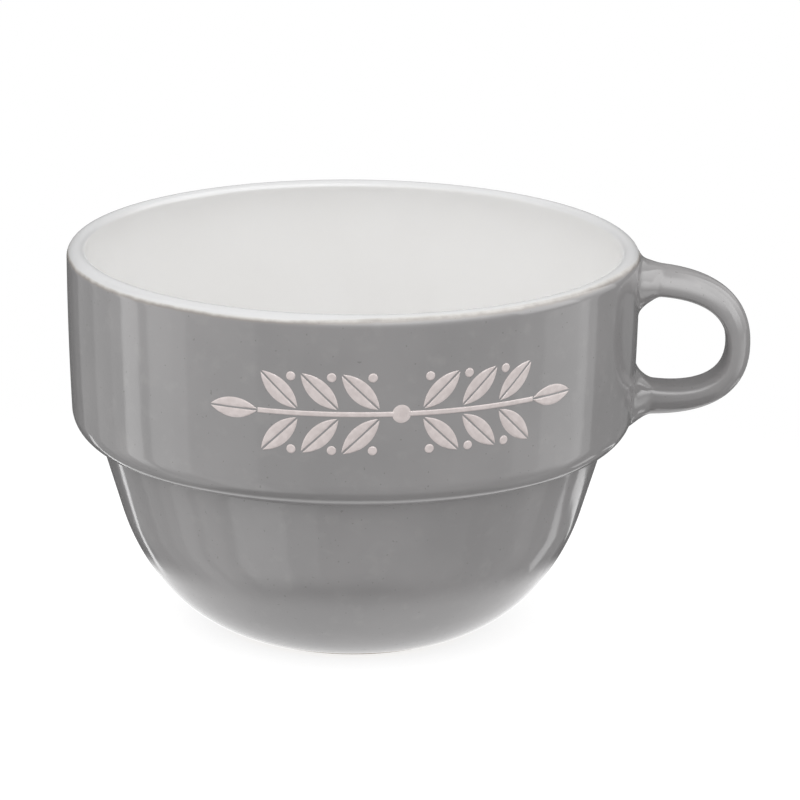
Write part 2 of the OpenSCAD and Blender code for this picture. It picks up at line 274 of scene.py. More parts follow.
# %% Mesh helpers
COLUMNS = 288
OUT_OF_ROUND = 0.05
ROUND_WAVE = 26
AXIS_R = 1
MERGE = 1e-7
SLIVER = 1e-8


def slow_wave(angle, seed, waves=(3, 7, 13)):
    """A smooth closed curve between about -1 and 1 round the cup."""
    total = 0
    for share, count in zip((0.5, 0.3, 0.2), waves):
        spot = Vector((math.cos(angle) * count / 3, math.sin(angle) * count / 3, seed))
        total += share * noise.noise(spot) * 2
    return total


def settled(points):
    """The points in mm, drawn in towards the axis by the wall's slight unevenness."""
    shifted = []
    for x, y, z in points:
        radius = math.hypot(x, y)
        uneven = 0.5 + 0.5 * noise.noise(Vector((x, y, z)) / ROUND_WAVE)
        keep = 1 if radius < AXIS_R else 1 - OUT_OF_ROUND * uneven / radius
        shifted.append((x * keep, y * keep, z))
    return shifted


def add_piece(name, points, faces, node_slot, replaced, sharp=40):
    """A finished piece: points in mm, facing out, smooth, riding on the one body."""
    mesh = bpy.data.meshes.new(name)
    mesh.from_pydata([Vector(p) * MM for p in points], [], faces)
    shaper = bmesh.new()
    shaper.from_mesh(mesh)
    middle = [v for v in shaper.verts if math.hypot(v.co.x, v.co.y) < MERGE]
    bmesh.ops.remove_doubles(shaper, verts=middle, dist=MERGE)
    bmesh.ops.dissolve_degenerate(shaper, edges=shaper.edges, dist=SLIVER)
    bmesh.ops.recalc_face_normals(shaper, faces=shaper.faces)
    shaper.to_mesh(mesh)
    shaper.free()
    mesh.shade_smooth()
    mesh.set_sharp_from_angle(angle=math.radians(sharp))
    piece = bpy.data.objects.new(name, mesh)
    scene.collection.objects.link(piece)
    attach(piece, "root")
    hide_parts(*replaced)
    print(f"{name}: {len(mesh.vertices)} points, {len(mesh.polygons)} faces")
    return piece


def turned(outline_at, closed):
    """Points and faces of the columns that outline_at gives for each angle round the cup."""
    angles = np.arange(COLUMNS) * math.tau / COLUMNS
    outlines = [outline_at(angle) for angle in angles]
    rows = len(outlines[0])
    points = [(r * math.cos(a), r * math.sin(a), z)
              for a, outline in zip(angles, outlines) for r, z in outline]
    last = rows if closed else rows - 1
    faces = []
    for j in range(COLUMNS):
        here, there = j * rows, (j + 1) % COLUMNS * rows
        for i in range(last):
            k = (i + 1) % rows
            faces.append((here + i, there + i, there + k, here + k))
    return settled(points), faces


def mark(piece, attribute, measure):
    """Stores measure(point in mm) on every point, for the piece's glaze to read."""
    values = [measure(v.co / MM) for v in piece.data.vertices]
    layer = piece.data.attributes.new(attribute, "FLOAT", "POINT")
    layer.data.foreach_set("value", values)


# %% [markdown]
# ## The grey coat
# The glaze line lies on the outer half of the lip, because the white glaze was wiped back by
# hand before the grey one was sprayed. It wanders by a few tenths of a millimetre and climbs by
# about a millimetre on the right of the front. It could be painted on one mesh with a mask. The
# coat is a closed shell instead, 0.3 mm thick, so that it is a real layer with its own edge.

# %% Grey coat outside
LINE_ANGLE = 30
LINE_WANDER = 9
LINE_HIGH = 38
LINE_HIGH_AT = -52
LINE_HIGH_HALF, LINE_HIGH_EASE = 22, 34
LINE_WAVES = (3, 8, 21)
LINE_SEED, FOOT_SEED, RECESS_SEED = 4, 11, 23
FOOT_WANDER = 0.18
COAT_EDGE = 0.2


def eased(t):
    t = np.clip(t, 0, 1)
    return t * t * (3 - 2 * t)


def line_angle_at(angle):
    """The glaze line's place on the lip. It stands higher on the right of the front."""
    off = abs((math.degrees(angle) - LINE_HIGH_AT + 180) % 360 - 180)
    high = LINE_HIGH * eased(1 - (off - LINE_HIGH_HALF) / LINE_HIGH_EASE)
    return LINE_ANGLE + high + LINE_WANDER * slow_wave(angle, LINE_SEED, LINE_WAVES)


def line_height_at(angle):
    return lip_c[1] + LIP_R * math.sin(math.radians(line_angle_at(angle)))


def foot_height_at(angle):
    return BARE_H + FOOT_WANDER * slow_wave(angle, FOOT_SEED)


def grey_outline(angle):
    line, foot = line_angle_at(angle), foot_height_at(angle)
    skin = outer_side(0, line, foot)
    back = outer_side(GLAZE_T, line, foot + COAT_EDGE)
    return np.vstack((skin, back[::-1]))


grey_coat = add_piece("grey_coat", *turned(grey_outline, closed=True), "grey_glaze",
                      ["outer_glaze"])
mark(grey_coat, "below_line", lambda p: line_height_at(math.atan2(p.y, p.x)) - p.z)

# %% [markdown]
# ## The white coat
# The white glaze covers the floor, the inner ledge and the lip, and stops where the grey one
# starts. It takes its edge from the same function as the grey coat does, so the two always
# meet. Modelling one white-and-grey surface and painting the line would be quicker, but the
# real coats are two layers with their own gloss.

# %% White coat inside and over the lip
CREST_STEPS = 12


def white_outline(angle):
    line = line_angle_at(angle)
    skin = joined(inner_side(0), arc(lip_c, LIP_R, 90, line, CREST_STEPS))
    back = joined(inner_side(GLAZE_T), arc(lip_c, LIP_R - GLAZE_T, 90, line, CREST_STEPS))
    return np.vstack((skin, back[::-1]))


white_coat = add_piece("white_coat", *turned(white_outline, closed=False), "white_glaze",
                       ["inner_glaze"])
mark(white_coat, "above_line", lambda p: p.z - line_height_at(math.atan2(p.y, p.x)))

# %% [markdown]
# ## The coat in the recess
# Under the floor the same grey glaze lies in the recess. The potter wiped the ring clean so
# that it wouldn't stick to the kiln shelf, which is why both coats end in a wandering edge. A
# flat disc would be simpler, but a cup gets turned over.

# %% Grey coat under the floor


def recess_outline(angle):
    end = BARE_H + FOOT_WANDER * slow_wave(angle, RECESS_SEED)
    return np.vstack((recess_side(0, end + COAT_EDGE), recess_side(GLAZE_T, end)[::-1]))


recess_coat = add_piece("recess_coat", *turned(recess_outline, closed=False), "grey_glaze",
                        ["base_glaze"])
mark(recess_coat, "below_line", lambda p: CUP_H)

# %% [markdown]
# ## The handle
# The handle was cast apart, luted on with slip and glazed with the cup, so its ends melt into
# the wall. A curve with a bevel would give the ring, but not the flare or the join. Here the
# strap is swept as long lines, each line is followed until it meets the wall, and a small
# fillet pushes it out along the wall where it lands.

# %% Handle's sizes and centreline
TOP_GAP = 2.65
BOTTOM_GAP = 1.3
HANDLE_MID_SHARE = 0.44
STRAP_W = 10
STRAP_T = 4.9
STRAP_TOP_T = 6.4
STRAP_BOTTOM_T = 8
HANDLE_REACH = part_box("handle_glaze")[1].x / MM - STRAP_T / 2
FLARE_RUN = 4.7
BOTTOM_SINK = 1.3
STRAP_FLAT_SHARE = 0.45
TOP_FLARE = (0.7, 2.6)
BOTTOM_FLARE = (2.3, 1.9)
FLARE_SIDE = 3
THINNING_POWER = 1.6
TOP_RUN_SHARE = 0.92
TOP_DROP_SHARE = 0.33
BOTTOM_DROP_SHARE = 1.37
BOTTOM_RUN_SHARE = 0.05

top_z = CUP_H - TOP_GAP - TOP_FLARE[0] - STRAP_TOP_T / 2
bottom_z = BOWL_H + BOTTOM_GAP + BOTTOM_FLARE[0] + STRAP_BOTTOM_T / 2
mid_z = bottom_z + HANDLE_MID_SHARE * (top_z - bottom_z)
wall_x = RIM_R - COLLAR_DRAFT * (CUP_H - top_z) / barrel_drop
sunk_x = wall_x - BOTTOM_SINK
top_curve = np.array((
    (wall_x, top_z),
    (wall_x + TOP_RUN_SHARE * (HANDLE_REACH - wall_x), top_z),
    (HANDLE_REACH, mid_z + TOP_DROP_SHARE * (top_z - mid_z)),
    (HANDLE_REACH, mid_z)))
bottom_curve = np.array((
    (HANDLE_REACH, mid_z),
    (HANDLE_REACH, mid_z - BOTTOM_DROP_SHARE * (mid_z - bottom_z)),
    (sunk_x + BOTTOM_RUN_SHARE * (HANDLE_REACH - sunk_x), bottom_z),
    (sunk_x, bottom_z)))
print(f"handle joints at {top_z:.2f} and {bottom_z:.2f} mm, reach {HANDLE_REACH:.2f} mm")

# %% Lines along the strap
STRAP_LINES = 96
LINE_STEPS = 240
STUB = 4.5
STUB_STEPS = 24
ROWS = 64


def strap_section(s, depth):
    """Centre, outward direction, outward, inward and sideways half sizes, flatness at s."""
    curve, t = (top_curve, 2 * s) if s < 0.5 else (bottom_curve, 2 * s - 1)
    u = 1 - t
    centre = (u**3 * curve[0] + 3 * u * u * t * curve[1]
              + 3 * u * t * t * curve[2] + t**3 * curve[3])
    slope = (u * u * (curve[1] - curve[0]) + 2 * u * t * (curve[2] - curve[1])
             + t * t * (curve[3] - curve[2]))
    outward = np.array((-slope[1], slope[0])) / np.linalg.norm(slope)
    end_t, flare, end = ((STRAP_TOP_T, TOP_FLARE, 0) if s < 0.5
                         else (STRAP_BOTTOM_T, BOTTOM_FLARE, 3))
    half_t = (STRAP_T + (end_t - STRAP_T) * abs(2 * s - 1) ** THINNING_POWER) / 2
    near = eased(1 - (centre[0] - curve[end][0]) / FLARE_RUN)
    return (centre, outward, half_t + near * flare[0] - depth, half_t + near * flare[1] - depth,
            STRAP_W / 2 + near * FLARE_SIDE - depth, STRAP_FLAT_SHARE * (1 - near))


def strap_point(s, depth, turn):
    """A point of the strap's section: domed outside, flat inside, an even oval at the ends."""
    centre, outward, outer, inner, side, flat = strap_section(s, depth)
    middle = centre + outward * (outer - inner) / 2
    dome = math.cos(turn) - flat * math.sin(turn) ** 2
    spot = middle + outward * (outer + inner) / 2 * dome
    return np.array((spot[0], side * math.sin(turn), spot[1]))


def strap_line(turn, depth):
    """One line from inside the wall, round the handle and into the wall again."""
    steps = np.linspace(0, 1, LINE_STEPS + 1)
    line = [strap_point(s, depth, turn) for s in steps]
    stub = np.linspace(STUB, 0, STUB_STEPS, endpoint=False)
    lead_in = [line[0] - (shift, 0, 0) for shift in stub]
    lead_out = [line[-1] - (shift, 0, 0) for shift in stub[::-1]]
    return np.array(lead_in + line + lead_out)


# %% [markdown]
# The wall near the handle isn't flat: the collar curves round, and under its rounded corner it
# turns inwards. So the distance from a point to the wall is measured to the nearest point of
# the turned outline, and the fillet moves a point along the wall without changing that distance.

# %% Distance to the wall, and the fillet
FILLET_R = 1.7
SEAM_SINK = 0.04
ROOT_CROWDING = 1.7
WALL_POINTS = 120
WALL_SAMPLES = 1600
wall_outline = outer_side(0, LINE_ANGLE, BARE_H)[:WALL_POINTS]
fine = np.linspace(0, len(wall_outline) - 1, WALL_SAMPLES)
wall_outline = np.column_stack([np.interp(fine, np.arange(len(wall_outline)), wall_outline[:, k])
                                for k in (0, 1)])
wall_slope = np.gradient(wall_outline, axis=0)
wall_slope /= np.linalg.norm(wall_slope, axis=1)[:, None]
wall_normal = np.column_stack((-wall_slope[:, 1], wall_slope[:, 0]))


def wall_under(points):
    """Signed distance, foot on the wall and wall normal for each point, in mm."""
    radius = np.hypot(points[:, 0], points[:, 1])
    flat = np.column_stack((radius, points[:, 2]))
    near = np.array([np.argmin(((wall_outline - spot) ** 2).sum(axis=1)) for spot in flat])
    foot, normal = wall_outline[near], wall_normal[near]
    gap = ((flat - foot) * normal).sum(axis=1)
    foot = flat - gap[:, None] * normal
    around = points[:, :2] / radius[:, None]
    foot_xyz = np.column_stack((around * foot[:, :1], foot[:, 1]))
    normal_xyz = np.column_stack((around * normal[:, :1], normal[:, 1]))
    return gap, foot_xyz, normal_xyz


def half_line(line, gaps, root, rows):
    """Points from where the line leaves the wall to its middle, closest near the wall."""
    middle = len(line) // 2
    order = np.arange(middle + 1) if root == "top" else np.arange(len(line) - 1, middle - 1, -1)
    inside = np.nonzero(gaps[order] < -SEAM_SINK)[0][-1]
    near, far = gaps[order[inside]], gaps[order[inside + 1]]
    start = inside + (-SEAM_SINK - near) / (far - near)
    where = start + (len(order) - 1 - start) * np.linspace(0, 1, rows) ** ROOT_CROWDING
    return np.column_stack([np.interp(where, np.arange(len(order)), line[order, k])
                            for k in range(3)])


def filleted(points, root_centre):
    """The points pushed out along the wall where they come within the fillet's radius."""
    gap, foot, normal = wall_under(points)
    away = points - root_centre
    away -= (away * normal).sum(axis=1)[:, None] * normal
    away /= np.linalg.norm(away, axis=1)[:, None]
    close = np.clip(gap, 0, FILLET_R)
    push = FILLET_R - np.sqrt(FILLET_R**2 - (FILLET_R - close) ** 2)
    _, foot, normal = wall_under(foot + away * push[:, None])
    return np.where(push[:, None] > 0, foot + normal * gap[:, None], points)


def strap_skin(depth, with_fillet):
    """Rows of points from the upper root to the lower one."""
    top_root = np.array((wall_x, 0, top_z))
    low_root = np.array((wall_x, 0, bottom_z))
    columns = []
    for i in range(STRAP_LINES):
        line = strap_line(math.tau * i / STRAP_LINES, depth)
        gaps = wall_under(line)[0]
        top = half_line(line, gaps, "top", ROWS)
        low = half_line(line, gaps, "low", ROWS)
        if with_fillet:
            top, low = filleted(top, top_root), filleted(low, low_root)
        columns.append(np.vstack((top, low[-2::-1])))
    return np.array(columns).transpose(1, 0, 2)


def tube(rows):
    """Faces between the rows of a tube, in the order of its points."""
    count, around = rows.shape[:2]
    return [(k * around + i, k * around + (i + 1) % around,
             (k + 1) * around + (i + 1) % around, (k + 1) * around + i)
            for k in range(count - 1) for i in range(around)]


# %% Handle coat
outer_rows = strap_skin(0, with_fillet=True)
inner_rows = strap_skin(GLAZE_T, with_fillet=False)
row_count, around = outer_rows.shape[:2]
shift = row_count * around
coat_points = np.vstack((outer_rows.reshape(-1, 3), inner_rows.reshape(-1, 3)))
coat_faces = tube(outer_rows)
coat_faces += [tuple(shift + i for i in face) for face in tube(inner_rows)]
for row in (0, row_count - 1):
    for i in range(around):
        a, b = row * around + i, row * around + (i + 1) % around
        coat_faces.append((a, b, shift + b, shift + a))
handle_coat = add_piece("handle_coat", [tuple(p) for p in coat_points], coat_faces,
                        "grey_glaze", ["handle_glaze"])
mark(handle_coat, "below_line", lambda p: line_height_at(math.atan2(p.y, p.x)) - p.z)

# %% [markdown]
# Under the coat the clay of the handle has the same round section. In the solids it is swept
# from flat facets, which would poke through a coat this thin where the flare is hollow, so the
# clay is swept again here from the same lines.

# %% Handle's clay
clay_faces = tube(inner_rows)
clay_faces.append(tuple(range(around)))
clay_faces.append(tuple(shift - around + i for i in range(around)))
handle_clay = add_piece("handle_clay", [tuple(p) for p in inner_rows.reshape(-1, 3)], clay_faces,
                        "stoneware", ["clay_handle"])

# %% [markdown]
# ## The garland
# The transfer is a thin printed film that was fired on after the glaze. It is a plain garland:
# a stem, leaf pairs, berries and a boss. Each leaf is two halves with a bare line between them
# as its vein. It could be a colour mask, or flat shapes laid on with Shrinkwrap.
# Here every motif is a thin closed cushion that follows the wall and stands 0.1 mm proud,
# because a fired transfer catches the light at its edge.

# %% Garland's sizes
PRINT_T = 0.1
PRINT_TURN = 10
STEM_DROP = 1.35
STEM_W = 1
LEAF_PAIRS = 3
LEAF_PITCH = 7.8
LEAF_START = 4.2
LEAF_L = 10
LEAF_W = 4
LEAF_LEAN = 44
LEAF_GAP = 0.9
VEIN_W = 0.34
BERRY_R = 0.9
BERRY_RISE = 7.2
BERRY_SHIFT = 1.3
BOSS_R = 1.8
stem_z = (lip_c[1] + corner_c[1]) / 2 - STEM_DROP
print(f"garland's stem at {stem_z:.2f} mm")

# %% Motifs on the wall
FILM_BACK = 0.12
FILM_EDGE_SINK = 0.02
EDGE_EASE = 0.16
VEIN_SAMPLES = 401
TIP_W = 0.001


def on_wall(along, up, height):
    """A point the given height above the collar, along and up from the garland's middle."""
    turn = math.radians(PRINT_TURN - 90) + along / RIM_R
    z = stem_z + up
    radius = barrel_c[0] + math.sqrt(barrel_r**2 - (z - barrel_c[1]) ** 2) + height
    return (radius * math.cos(turn), radius * math.sin(turn), z)


def cushion(grid, edge_gap, points, faces):
    """Adds a closed film over a grid of flat (along, up) spots, thinning towards its edge."""
    rows, cols = len(grid), len(grid[0])
    base = len(points)
    for layer in (0, 1):
        for i in range(rows):
            for j in range(cols):
                ease = eased(edge_gap(i, j) / EDGE_EASE)
                height = ((PRINT_T + FILM_EDGE_SINK) * ease - FILM_EDGE_SINK if layer == 0
                          else -FILM_BACK)
                points.append(on_wall(*grid[i][j], height))
    back = rows * cols
    for i in range(rows - 1):
        for j in range(cols - 1):
            face = (base + i * cols + j, base + (i + 1) * cols + j,
                    base + (i + 1) * cols + j + 1, base + i * cols + j + 1)
            faces.append(face)
            faces.append(tuple(k + back for k in reversed(face)))
    rim = ([(i, 0) for i in range(rows)] + [(rows - 1, j) for j in range(1, cols)]
           + [(i, cols - 1) for i in range(rows - 2, -1, -1)]
           + [(0, j) for j in range(cols - 2, 0, -1)])
    for (i, j), (k, m) in zip(rim, rim[1:] + rim[:1]):
        a, b = base + i * cols + j, base + k * cols + m
        faces.append((a, a + back, b + back, b))


def leaf_half(side, place, points, faces, rows=26, cols=7):
    """Half a pointed leaf on one side of its vein. place puts a leaf's spot on the garland."""
    bow_r = (LEAF_L**2 + LEAF_W**2) / (4 * LEAF_W)

    def half_width(a):
        return math.sqrt(bow_r**2 - (a - LEAF_L / 2) ** 2) - (bow_r - LEAF_W / 2)

    vein_reach = [a for a in np.linspace(0, LEAF_L, VEIN_SAMPLES) if half_width(a) > VEIN_W / 2]
    start, end = vein_reach[0], vein_reach[-1]
    grid, widths = [], []
    for i in range(rows):
        a = start + (end - start) * (1 - math.cos(math.pi * i / (rows - 1))) / 2
        width = max(half_width(a) - VEIN_W / 2, TIP_W)
        widths.append(width)
        grid.append([place(a, side * (VEIN_W / 2 + width * j / (cols - 1))) for j in range(cols)])
    cushion(grid, lambda i, j: widths[i] * min(j, cols - 1 - j) / (cols - 1), points, faces)


def leaf_pair_place(foot, side, up):
    lean_r = math.radians(LEAF_LEAN)

    def place(a, b):
        along = a * math.cos(lean_r) - b * math.sin(lean_r)
        rise = a * math.sin(lean_r) + b * math.cos(lean_r) + LEAF_GAP
        return side * (foot + along), up * rise
    return place


def disc(along, up, radius, points, faces, rings=6, cols=33):
    grid = [[(along + radius * i / (rings - 1) * math.cos(math.tau * j / (cols - 1)),
              up + radius * i / (rings - 1) * math.sin(math.tau * j / (cols - 1)))
             for j in range(cols)] for i in range(rings)]
    cushion(grid, lambda i, j: radius * (rings - 1 - i) / (rings - 1), points, faces)


# %% Garland
film_points, film_faces = [], []
stem_half = LEAF_START + LEAF_PAIRS * LEAF_PITCH
stem_rows, stem_cols = 90, 7
stem_grid = [[(-stem_half + 2 * stem_half * i / (stem_rows - 1),
               STEM_W * (j / (stem_cols - 1) - 0.5)) for j in range(stem_cols)]
             for i in range(stem_rows)]
cushion(stem_grid, lambda i, j: STEM_W * min(j, stem_cols - 1 - j) / (stem_cols - 1),
        film_points, film_faces)
for side in (-1, 1):
    for i in range(LEAF_PAIRS):
        foot = LEAF_START + i * LEAF_PITCH
        for up in (-1, 1):
            for half in (-1, 1):
                leaf_half(half, leaf_pair_place(foot, side, up), film_points, film_faces)
            disc(side * (foot + BERRY_SHIFT), up * BERRY_RISE, BERRY_R, film_points, film_faces)
    for half in (-1, 1):
        leaf_half(half, lambda a, b: (side * (stem_half + a), b), film_points, film_faces)
disc(0, 0, BOSS_R, film_points, film_faces)
garland = add_piece("garland", film_points, film_faces, "transfer", ["transfer_print"], sharp=60)

# %% [markdown]
# ## The glazes
# A glaze is a sheet of glass over clay: its colour comes from below, its gloss from a smooth
# skin of index 1.5. A glass layer over a matt one would be truer, but it is slow and noisy in a
# coat this thin, so each glaze is one Principled shader. What makes it ceramic and not paint is
# small: clouds where the coat is thicker, a few specks, and a skin that is not quite flat,
# which makes the edges of a reflected softbox waver.

# %% Material helpers


class Shading:
    """A new material with short ways to add and join its nodes."""

    def __init__(self, name):
        self.material = bpy.data.materials.new(name)
        self.material.use_nodes = True
        self.tree = self.material.node_tree
        self.shader = self.tree.nodes["Principled BSDF"]
        self.place = self.add("ShaderNodeTexCoord").outputs["Object"]

    def add(self, kind, **settings):
        node = self.tree.nodes.new(kind)
        for key, value in settings.items():
            setattr(node, key, value)
        return node

    def join(self, source, target):
        self.tree.links.new(source, target)

    def noise(self, size_mm, detail=2, stretch=(1, 1, 1)):
        """Noise with features of about the given size."""
        mapping = self.add("ShaderNodeMapping")
        mapping.inputs["Scale"].default_value = stretch
        self.join(self.place, mapping.inputs["Vector"])
        node = self.add("ShaderNodeTexNoise")
        node.inputs["Scale"].default_value = 1 / (size_mm * MM)
        node.inputs["Detail"].default_value = detail
        self.join(mapping.outputs["Vector"], node.inputs["Vector"])
        return node.outputs["Fac"]

    def ramp(self, value, low, high, smooth=True):
        """0 where value is at low, 1 where it is at high."""
        node = self.add("ShaderNodeMapRange")
        node.interpolation_type = "SMOOTHSTEP" if smooth else "LINEAR"
        node.inputs["From Min"].default_value = low
        node.inputs["From Max"].default_value = high
        self.join(value, node.inputs["Value"])
        return node.outputs["Result"]

    def math(self, operation, a, b):
        node = self.add("ShaderNodeMath", operation=operation)
        for socket, value in zip(node.inputs, (a, b)):
            if isinstance(value, (int, float)):
                socket.default_value = value
            else:
                self.join(value, socket)
        return node.outputs["Value"]

    def mix(self, factor, first, second):
        """A colour between first and second, either of them a colour or an output."""
        node = self.add("ShaderNodeMix", data_type="RGBA")
        colours = [s for s in node.inputs if s.type == "RGBA"]
        for socket, value in zip(colours, (first, second)):
            if isinstance(value, tuple):
                socket.default_value = (*value, 1)
            else:
                self.join(value, socket)
        self.join(factor, node.inputs["Factor"])
        return [s for s in node.outputs if s.type == "RGBA"][0]

    def bump(self, *layers):
        """Bumps stacked on each other, each a height output and its depth in mm."""
        normal = None
        for height, depth_mm in layers:
            node = self.add("ShaderNodeBump")
            node.inputs["Strength"].default_value = 1
            node.inputs["Distance"].default_value = depth_mm * MM
            self.join(height, node.inputs["Height"])
            if normal:
                self.join(normal, node.inputs["Normal"])
            normal = node.outputs["Normal"]
        self.join(normal, self.shader.inputs["Normal"])

    def attribute(self, name):
        return self.add("ShaderNodeAttribute", attribute_name=name).outputs["Fac"]

    def set(self, **values):
        for key, value in values.items():
            self.shader.inputs[key.replace("_", " ")].default_value = value


# %% Grey glaze
GREY = (0.318, 0.309, 0.310)
GREY_THIN = (0.350, 0.340, 0.338)
GREY_POOLED = (0.292, 0.285, 0.286)
LINE_TAN = (0.36, 0.30, 0.24)
LINE_WHITE = (0.70, 0.69, 0.67)
SPECK = (0.12, 0.115, 0.11)


def grey_glaze():
    skin = Shading("grey_glaze")
    clouds = skin.ramp(skin.noise(22, detail=3), 0.35, 0.68)
    body = skin.mix(clouds, GREY_POOLED, GREY)
    thin = skin.ramp(skin.noise(3.5, detail=3), 0.52, 0.80)
    body = skin.mix(skin.math("MULTIPLY", thin, 0.5), body, GREY_THIN)
    specks = skin.ramp(skin.noise(0.55, detail=0), 0.80, 0.86)
    body = skin.mix(skin.math("MULTIPLY", specks, 0.35), body, SPECK)
    below = skin.attribute("below_line")
    ragged = skin.math("ADD", below, skin.math("MULTIPLY", skin.noise(2.2, detail=3), 0.5))
    tan = skin.ramp(ragged, 1.35, 0.45)
    body = skin.mix(skin.math("MULTIPLY", tan, 0.55), body, LINE_TAN)
    white = skin.ramp(ragged, 0.95, 0.1)
    body = skin.mix(white, body, LINE_WHITE)
    skin.join(body, skin.shader.inputs["Base Color"])
    skin.set(Roughness=0.09, IOR=1.5)
    skin.bump((skin.noise(9, detail=2), 0.045), (skin.noise(1.6, detail=1), 0.0035))
    return skin.material


# %% White glaze
WHITE = (0.695, 0.695, 0.700)
WHITE_POOLED = (0.68, 0.679, 0.682)


def white_glaze():
    skin = Shading("white_glaze")
    clouds = skin.ramp(skin.noise(18, detail=3), 0.35, 0.7)
    body = skin.mix(clouds, WHITE_POOLED, WHITE)
    above = skin.attribute("above_line")
    ragged = skin.math("ADD", above, skin.math("MULTIPLY", skin.noise(2.2, detail=3), 0.4))
    greyed = skin.ramp(ragged, 0.55, 0.1)
    body = skin.mix(skin.math("MULTIPLY", greyed, 0.45), body, LINE_WHITE)
    skin.join(body, skin.shader.inputs["Base Color"])
    skin.set(Roughness=0.2, IOR=1.5)
    skin.bump((skin.noise(8, detail=1), 0.03), (skin.noise(1.5, detail=1), 0.003))
    return skin.material


# %% [markdown]
# ## Fired film, clay and slip
# The transfer is matter than the glaze and slightly mottled, because its pigment sits on top.
# The bare foot is dry clay: no gloss, fine grain, a few darker grogs, and a rough bump. Both
# could be scanned textures, but noise in the shader needs no image and has no seam.

# %% Transfer film
FILM = (0.77, 0.69, 0.675)
FILM_WORN = (0.69, 0.615, 0.60)


def transfer_film():
    skin = Shading("transfer_film")
    mottle = skin.ramp(skin.noise(1.4, detail=4), 0.35, 0.7)
    skin.join(skin.mix(mottle, FILM_WORN, FILM), skin.shader.inputs["Base Color"])
    skin.set(Roughness=0.22, IOR=1.5)
    skin.bump((skin.noise(0.5, detail=2), 0.004))
    return skin.material


# %% Bare clay and slip
CLAY, CLAY_DARK = (0.47, 0.39, 0.31), (0.38, 0.31, 0.24)
SLIP, SLIP_DARK = (0.72, 0.66, 0.58), (0.64, 0.57, 0.49)
GROG = (0.35, 0.26, 0.18)


def bare_clay(name, pale, dark, grain_mm):
    skin = Shading(name)
    grain = skin.ramp(skin.noise(grain_mm, detail=5), 0.35, 0.7)
    body = skin.mix(grain, dark, pale)
    grog = skin.ramp(skin.noise(0.45, detail=1), 0.72, 0.80)
    body = skin.mix(skin.math("MULTIPLY", grog, 0.6), body, GROG)
    skin.join(body, skin.shader.inputs["Base Color"])
    skin.set(Roughness=0.82, IOR=1.45)
    skin.bump((skin.noise(0.35, detail=3), 0.03), (skin.noise(2, detail=2), 0.03))
    return skin.material


# %% Dress every piece
grey = grey_glaze()
white = white_glaze()
clay = bare_clay("bare_clay", CLAY, CLAY_DARK, grain_mm=1.2)
slip = bare_clay("fired_slip", SLIP, SLIP_DARK, grain_mm=0.7)
film = transfer_film()
for piece, material in ((grey_coat, grey), (handle_coat, grey), (recess_coat, grey),
                        (white_coat, white), (garland, film), (handle_clay, clay)):
    piece.data.materials.append(material)
for node, material in (("clay_body", clay), ("upper_slip_joint", slip),
                       ("lower_slip_joint", slip)):
    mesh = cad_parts[node].data
    if not mesh.materials:
        mesh.materials.append(material)
    for i in range(len(mesh.materials)):
        mesh.materials[i] = material
print("materials:", [m.name for m in bpy.data.materials])

# %% [markdown]
# ## The studio: floor and background
# The cup stands on a pale table that is lit from below as well, as catalogue tables are: it
# keeps a faint shadow, yet the bowl's underside stays bright. A lamp under it could do this,
# but a glow in its material is simpler. The disc is seen near the foot and turns transparent
# further out, into the white background. To glossy rays it fades sooner, because the bowl
# mirrors only the table's lit middle, and its glow on the cup fades too.

# %% Floor
FLOOR_R = 260
FLOOR_RINGS = 40
FLOOR_SIDES = 96
PAPER = (0.35, 0.35, 0.35)
TABLE_SEEN = 0.80
TABLE_MIRRORED = 1.15
TABLE_LIGHT = 0.41
SEEN_FROM, SEEN_TO = 70, 165
MIRRORED_FROM, MIRRORED_TO = 44, 57
LIGHT_FROM, LIGHT_TO = 170, 60


def ray_kind(tree, *names):
    """1 for the named kinds of ray, 0 for the others."""
    path = tree.nodes.new("ShaderNodeLightPath")
    total = path.outputs[names[0]]
    for name in names[1:]:
        node = tree.nodes.new("ShaderNodeMath")
        node.operation = "MAXIMUM"
        tree.links.new(total, node.inputs[0])
        tree.links.new(path.outputs[name], node.inputs[1])
        total = node.outputs[0]
    return total


def floor_material():
    paper = Shading("pale_floor")
    paper.set(Roughness=0.9)
    paper.shader.inputs["Specular IOR Level"].default_value = 0
    paper.shader.inputs["Base Color"].default_value = (*PAPER, 1)
    paper.shader.inputs["Emission Color"].default_value = (1, 1, 1, 1)
    distance = paper.add("ShaderNodeVectorMath", operation="LENGTH")
    paper.join(paper.place, distance.inputs[0])
    spread = distance.outputs["Value"]
    camera_fade = paper.ramp(spread, SEEN_FROM * MM, SEEN_TO * MM)
    glossy_fade = paper.ramp(spread, MIRRORED_FROM * MM, MIRRORED_TO * MM)
    near = paper.ramp(spread, LIGHT_FROM * MM, LIGHT_TO * MM)
    glossy = ray_kind(paper.tree, "Is Glossy Ray", "Is Transmission Ray")
    seen = ray_kind(paper.tree, "Is Camera Ray")
    soft = ray_kind(paper.tree, "Is Diffuse Ray")
    glow = paper.math("ADD", paper.math("MULTIPLY", seen, TABLE_SEEN),
                      paper.math("ADD", paper.math("MULTIPLY", glossy, TABLE_MIRRORED),
                                 paper.math("MULTIPLY", paper.math("MULTIPLY", soft, near),
                                            TABLE_LIGHT)))
    paper.join(glow, paper.shader.inputs["Emission Strength"])
    fade = paper.math("ADD", paper.math("MULTIPLY", camera_fade, seen),
                      paper.math("MULTIPLY", glossy_fade, glossy))
    clear = paper.add("ShaderNodeBsdfTransparent")
    blend = paper.add("ShaderNodeMixShader")
    paper.join(fade, blend.inputs[0])
    paper.join(paper.shader.outputs[0], blend.inputs[1])
    paper.join(clear.outputs[0], blend.inputs[2])
    paper.join(blend.outputs[0], paper.tree.nodes["Material Output"].inputs["Surface"])
    return paper.material


